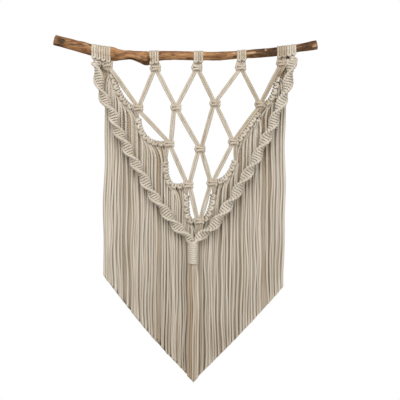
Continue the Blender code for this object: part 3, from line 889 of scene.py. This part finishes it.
def make_sinnet(name, material, hand):
    """A spiral of half knots: two outer cords tied round two fillers, turning as it descends."""
    ropes = Ropes(name + "_cords")

    def depth(share):
        """y at a share of the route: from the branch's to the sinnet's own, then forward at the wrap."""
        y = BRANCH_Y + (SINNET_Y - BRANCH_Y) * min(1.0, share / 0.12)
        return y + (WRAP_Y - 2 - SINNET_Y) * max(0.0, share / 0.1 - 9)

    at, total = along_route(SINNETS[name], depth)
    necks = np.array(NECKS[name], float)
    middle = SINNET_GROUPS[name]

    def world(across, back, s, scale):
        place, sideways, _ = at(s)
        halves = np.interp(s, [FIRST_FULL[name], *necks], [-0.5, *range(len(necks))])
        turn = hand * math.pi * (halves + 0.5)
        x = across * math.cos(turn) - back * math.sin(turn)
        y = across * math.sin(turn) + back * math.cos(turn)
        spot = place + sideways * x + np.array([0, 1, 0]) * y
        return (*spot, scale)

    def narrowing(s):
        """The sinnet is narrower where it goes into the wrap."""
        return min(1.0, 0.55 + (total - s) / 60)

    begin, finish = -2.0, total - 3.0
    for cord in range(4):
        x0 = middle + (-1 if cord < 2 else 1) * TURN_PITCH
        side = -1 if cord % 2 == 0 else 1
        place, _, _ = at(-3)
        rows = lark_half(x0, side, place[0], place[1], place[2])
        if cord in (1, 2):
            # A filler.
            for s in np.arange(begin, total + 4, 6.0):
                shrink = narrowing(s)
                rows.append(world((-FILLER_X, FILLER_X)[cord - 1] * shrink, 0, s, FILLER_SHARE * shrink))
        else:
            start = 0.0 if cord == 0 else 1.0
            knots = 0
            done = False
            while not done:
                for across, back, down, share in HALF_KNOT_PATH:
                    s = begin + (down + knots + start) * HALF_KNOT_PITCH
                    if start and knots == 0 and down < 0:
                        continue
                    if s > finish:
                        done = True
                        break
                    shrink = narrowing(s)
                    share *= SINNET_SHARE[name]
                    rows.append(world(across * SINNET_WIDE * shrink, back * SINNET_DEEP * shrink, s, share))
                knots += 2
            rows.append(world(0.1, 0, total + 6, 0.8))
        ropes.add(rows, [rng.uniform(*SINNET_TONES[name])], smooth=3)
    return ropes.build(material, name)


# ---------------------------------------------------------------- fringe
def sinnet_z(x):
    """The height at which the sinnet on x's side crosses x."""
    route = sorted(SINNETS["spiral_left" if x < 0 else "spiral_right"])
    return float(np.interp(x, *np.transpose(route)))


def strand_rows(
    root, x, y, z_end, sway=1.0, own_sway=OWN_SWAY, share_of_cord=STRAND_SHARE, stray=0.3, pull=0.0
):
    """A hanging strand below its root. Neighbours stray together, each a little in its own way, and the
    outermost lean to the left. pull is how far it is drawn into its bunch."""
    settled = root[2] - ROOT_DROP
    length = settled - z_end
    rows = []
    phase = rng.uniform(0, math.tau)
    own = rng.uniform(*own_sway)
    wave = rng.uniform(90, 190)
    lean = -EDGE_LEAN * max(0.0, (abs(x) - 140) / 40)
    strays = rng.uniform(-stray, stray)
    loosens = sinnet_z(x)
    count = max(4, int(length / 24))
    for i in range(count + 1):
        share = i / count
        z = settled + (z_end - settled) * share
        near = min(1.0, share * 4)
        together = sway * (math.sin(z / 47 + x / 23) + 0.6 * math.sin(z / 21 - x / 31))
        dx = near * (together + own * math.sin(math.tau * z / wave + phase))
        dx += pull * np.interp(z, (loosens - BUNCH_END, loosens), (BUNCH_LEFT, 1.0))
        dy = near * 0.5 * math.sin(math.tau * z / 120 + phase)
        rows.append((x + dx + lean * share + strays * share**1.6, y + dy, z, share_of_cord))
    rows[-1] = (*rows[-1][:3], share_of_cord * 1.07)
    return rows


def make_festoon(name, material):
    """A bar of lark's heads, each a folded cord whose two ends hang as fringe."""
    _, begin, corner, end, (first, last) = FESTOONS[name]
    ropes = Ropes(name + "_cords")
    curve = bend(begin, corner, end)
    bar_y = BAR_Y - BAR_FORWARD.get(name, 0.0)
    route, lengths = evenly(np.column_stack([curve[:, 0], np.full(len(curve), bar_y), curve[:, 1]]), 0.5)
    total = lengths[-1]
    heads = round(total / HEAD_PITCH)
    pitch = total / heads
    right = "right" in name
    columns = np.linspace(first, last, 2 * heads)
    spacing = columns[1] - columns[0]
    knot_z, further, knot_strands = KNOT_STRANDS.get(name, (0, 0, ()))
    for x, tones in knot_strands:
        end = hem(x) - PAST_HEM
        layer = REAR_FRINGE_Y if tones[1] <= 0.5 else FRONT_FRINGE_Y + 3
        rows = [(x + further, BAR_Y, knot_z - 2, 0.9)]
        rows.append((x + further * 0.8, (BAR_Y + layer) / 2, knot_z - 16, 0.95))
        rows += strand_rows((x, layer, knot_z - 8), x, layer, end)
        ropes.add(rows, [rng.uniform(*tones)], step=LOOSE_STEP, smooth=4, hangs=True)
    for places in BEHIND_STRANDS.get(name, ()):
        x, z = places[-1]
        layers = np.linspace(BAR_Y + 1.5, REAR_FRINGE_Y - 0.6, len(places))
        rows = [(px, y, pz, 1.1) for (px, pz), y in zip(places[:-1], layers)]
        rows += strand_rows((x, REAR_FRINGE_Y, z + ROOT_DROP), x, REAR_FRINGE_Y, hem(x) - PAST_HEM)
        ropes.add(rows, [rng.uniform(*BEHIND_SHADE_TONES)], step=LOOSE_STEP, smooth=4, hangs=True)
    for h in range(heads):
        s0 = (h + 0.5) * pitch
        i = min(len(route) - 2, int(s0 / total * (len(route) - 1)))
        t = route[i + 1] - route[i]
        t /= np.linalg.norm(t)
        down = np.array([t[2], 0.0, -t[0]])
        if (down[0] > 0) != right:
            down = -down
        if abs(t[0]) > 0.8:
            down = down if down[2] < 0 else -down

        def at(centre, degrees, r, shift, scale):
            a = math.radians(degrees)
            spot = centre + t * shift - down * r * math.sin(a)
            return (spot[0], spot[1] - r * math.cos(a), spot[2], scale)

        both = []
        tones = []
        for side in (-1, 1):
            centre_s = s0 + side * HEAD_SPREAD
            k = min(len(route) - 1, max(0, round(centre_s / total * (len(route) - 1))))
            centre = route[k]
            rows = []
            for degrees in (4, 30, 60, 100, 140, 180, 215, 245):
                closing = -side * HEAD_CLOSING * degrees / 245
                rows.append(at(centre, degrees, HEAD_RADIUS, closing, HEAD_SHARE))
            rows.append(at(centre, 278, HEAD_RADIUS + 0.6, -side * HEAD_CLOSING, 1.0))
            number = 2 * h + (side + 1) // 2
            in_front = number % 2 == 1
            column = columns[number] + rng.uniform(-1, 1) * (CLUMP if in_front else REAR_CLUMP)
            layer = FRONT_FRINGE_Y if in_front else REAR_FRINGE_Y
            # A shaded rear strand is painted dark: painted shade between the strands.
            shaded = not in_front and rng.random() < PAINTED_SHADE_SHARE.get(name, 0.5)
            if not in_front and not shaded:
                layer += PALE_REAR_FORWARD
            hang = centre + down * (HEAD_RADIUS + 3.0)
            share = min(1.0, abs(column - hang[0]) / 14)
            pull = -BUNCH_PULL * math.sin(math.tau * (column - first) / BUNCH_PITCH)
            over = column + pull - hang[0]
            rows.append((hang[0] + over * 0.35, bar_y + 0.5, hang[2] - 3 - 2 * share, 1.0))
            rows.append((hang[0] + over * 0.8, (BAR_Y + layer) / 2, hang[2] - 13 - 3 * share, 1.0))
            root = (column, layer, hang[2] - 6)
            end = hem(column) - PAST_HEM
            if not in_front:
                rows += strand_rows(root, column, layer, end, share_of_cord=REAR_SHARE, pull=pull)
            else:
                stray = FRONT_LEAN * min(1.0, (182 - abs(column)) / 10)
                rows += strand_rows(root, column, layer, end, own_sway=FRONT_SWAY, stray=stray, pull=pull)
                # Two strands hang close to the wall behind this one, painted dark as shade in the gaps,
                # darkest near their top.
                for x in (columns[number] - spacing / 2, columns[number] + spacing / 2):
                    above = curve[np.abs(curve[:, 0] - x) < 1.5, 1]
                    top = above.min() - 0.5 if len(above) else root[2] - 8
                    back = [(x, BACK_Y, top, 0.8)]
                    back += strand_rows(
                        (x, BACK_Y, top + 10),
                        x,
                        BACK_Y,
                        hem(x) - PAST_HEM,
                        own_sway=BACK_SWAY,
                        share_of_cord=BACK_SHARE,
                        stray=0.1,
                    )
                    painted_shade = [rng.uniform(*BACK_SHADE_TONES[:2]), rng.uniform(*BACK_SHADE_TONES[2:])]
                    ropes.add(back, painted_shade, BACK_FOLD, step=BACK_STEP, smooth=3, hangs=True)
            both.append(rows)
            tones.append(rng.uniform(*(PAINTED_SHADE_TONES if shaded else PALE_TONES)))
        r = HEAD_RADIUS + LOOP_OUT
        shifts = (-HEAD_SPREAD, 0.0, HEAD_SPREAD)
        loop = [at(route[i], LOOP_ANGLE, r, shift, HEAD_SHARE) for shift in shifts]
        # Half of the cord hangs on each side of the head.
        cord = both[0][::-1] + loop + both[1]
        ropes.add(cord, tones, HEAD_FOLD, step=LOOSE_STEP * 0.9, smooth=5, hangs=True)
    return ropes.build(material, name)


def make_wrap(material):
    """The gathering knot: a coil round the ends of the sinnets, and the tail that hangs from it."""
    ropes = Ropes("gathering_wrap_cords")
    rows = []
    height = WRAP_TOP - WRAP_BOTTOM - CORD
    for i in range(WRAP_TURNS * TURN_POINTS + 1):
        angle = math.tau * i / TURN_POINTS + math.pi
        z = WRAP_TOP - CORD / 2 - height * i / (WRAP_TURNS * TURN_POINTS)
        r = WRAP_RADIUS * (1 + 0.02 * math.sin(1.7 * i))
        rows.append((WRAP_X + r * math.sin(angle), WRAP_Y - r * math.cos(angle), z, WRAP_SHARE))
    ropes.add(rows, [WRAP_TONE], smooth=2)
    for i in range(TAIL_STRANDS):
        share = i / (TAIL_STRANDS - 1)
        layer = TAIL_LAYERS[i % 2]
        x = WRAP_X + TAIL_SPREAD * (2 * share - 1)
        root = (WRAP_X + (2 * share - 1) * 6.5, WRAP_Y + (-2.8, 2.8)[i % 2], WRAP_BOTTOM + 8)
        start = [(*root, 0.8), (root[0] * 1.1, root[1], WRAP_BOTTOM - 3, 0.95)]
        rows = start + strand_rows((x, layer, WRAP_BOTTOM + 2), x, layer, hem(x) - PAST_HEM, 1.2)
        ropes.add(rows, [rng.uniform(*TAIL_TONES)], step=LOOSE_STEP, hangs=True)
    return ropes.build(material, "gathering_wrap")


# ---------------------------------------------------------------- stage
def make_stage():
    shape = bmesh.new()
    shape.faces.new([shape.verts.new(corner) for corner in FLOOR])
    mesh = bpy.data.meshes.new("floor")
    shape.to_mesh(mesh)
    shape.free()
    material = bpy.data.materials.new("pale_floor")
    material.use_nodes = True
    material.node_tree.nodes["Principled BSDF"].inputs["Base Color"].default_value = (0.85, 0.85, 0.84, 1)
    mesh.materials.append(material)
    floor = bpy.data.objects.new("floor", mesh)
    bpy.context.scene.collection.objects.link(floor)


def make_light(name, at, target, size, power):
    data = bpy.data.lights.new(name, "AREA")
    data.shape = "DISK"
    data.size = size
    data.energy = power
    made = bpy.data.objects.new(name, data)
    made.location = at
    made.rotation_euler = (Vector(target) - Vector(at)).to_track_quat("-Z", "Y").to_euler()
    bpy.context.scene.collection.objects.link(made)


def make_world():
    world = bpy.data.worlds.new("studio")
    bpy.context.scene.world = world
    make, link = node_maker(world)
    out = make("ShaderNodeOutputWorld")
    seen = make("ShaderNodeBackground", Color=(1, 1, 1, 1), Strength=1.0)
    fill = make("ShaderNodeBackground", Color=(1.0, 0.97, 0.93, 1), Strength=0.35)
    which = make("ShaderNodeLightPath")
    mix = make("ShaderNodeMixShader")
    link(which.outputs["Is Camera Ray"], mix.inputs[0])
    link(fill.outputs[0], mix.inputs[1])
    link(seen.outputs[0], mix.inputs[2])
    link(mix.outputs[0], out.inputs["Surface"])


def make_camera():
    data = bpy.data.cameras.new("camera")
    data.lens = LENS
    data.sensor_width = 36
    made = bpy.data.objects.new("camera", data)
    made.location = Vector(CAMERA_AT) * MM
    made.rotation_euler = (math.radians(90), 0, 0)
    bpy.context.scene.collection.objects.link(made)
    bpy.context.scene.camera = made


bpy.context.scene.view_settings.view_transform = "Standard"
make_camera()
make_world()
make_stage()
for lamp, settings in LIGHTS.items():
    make_light(lamp, *settings)

cotton = cotton_material()
make_branch(driftwood_material())
make_net(cotton)
make_sinnet("spiral_left", cotton, 1)
make_sinnet("spiral_right", cotton, -1)
for festoon in FESTOONS:
    make_festoon(festoon, cotton)
make_wrap(cotton)
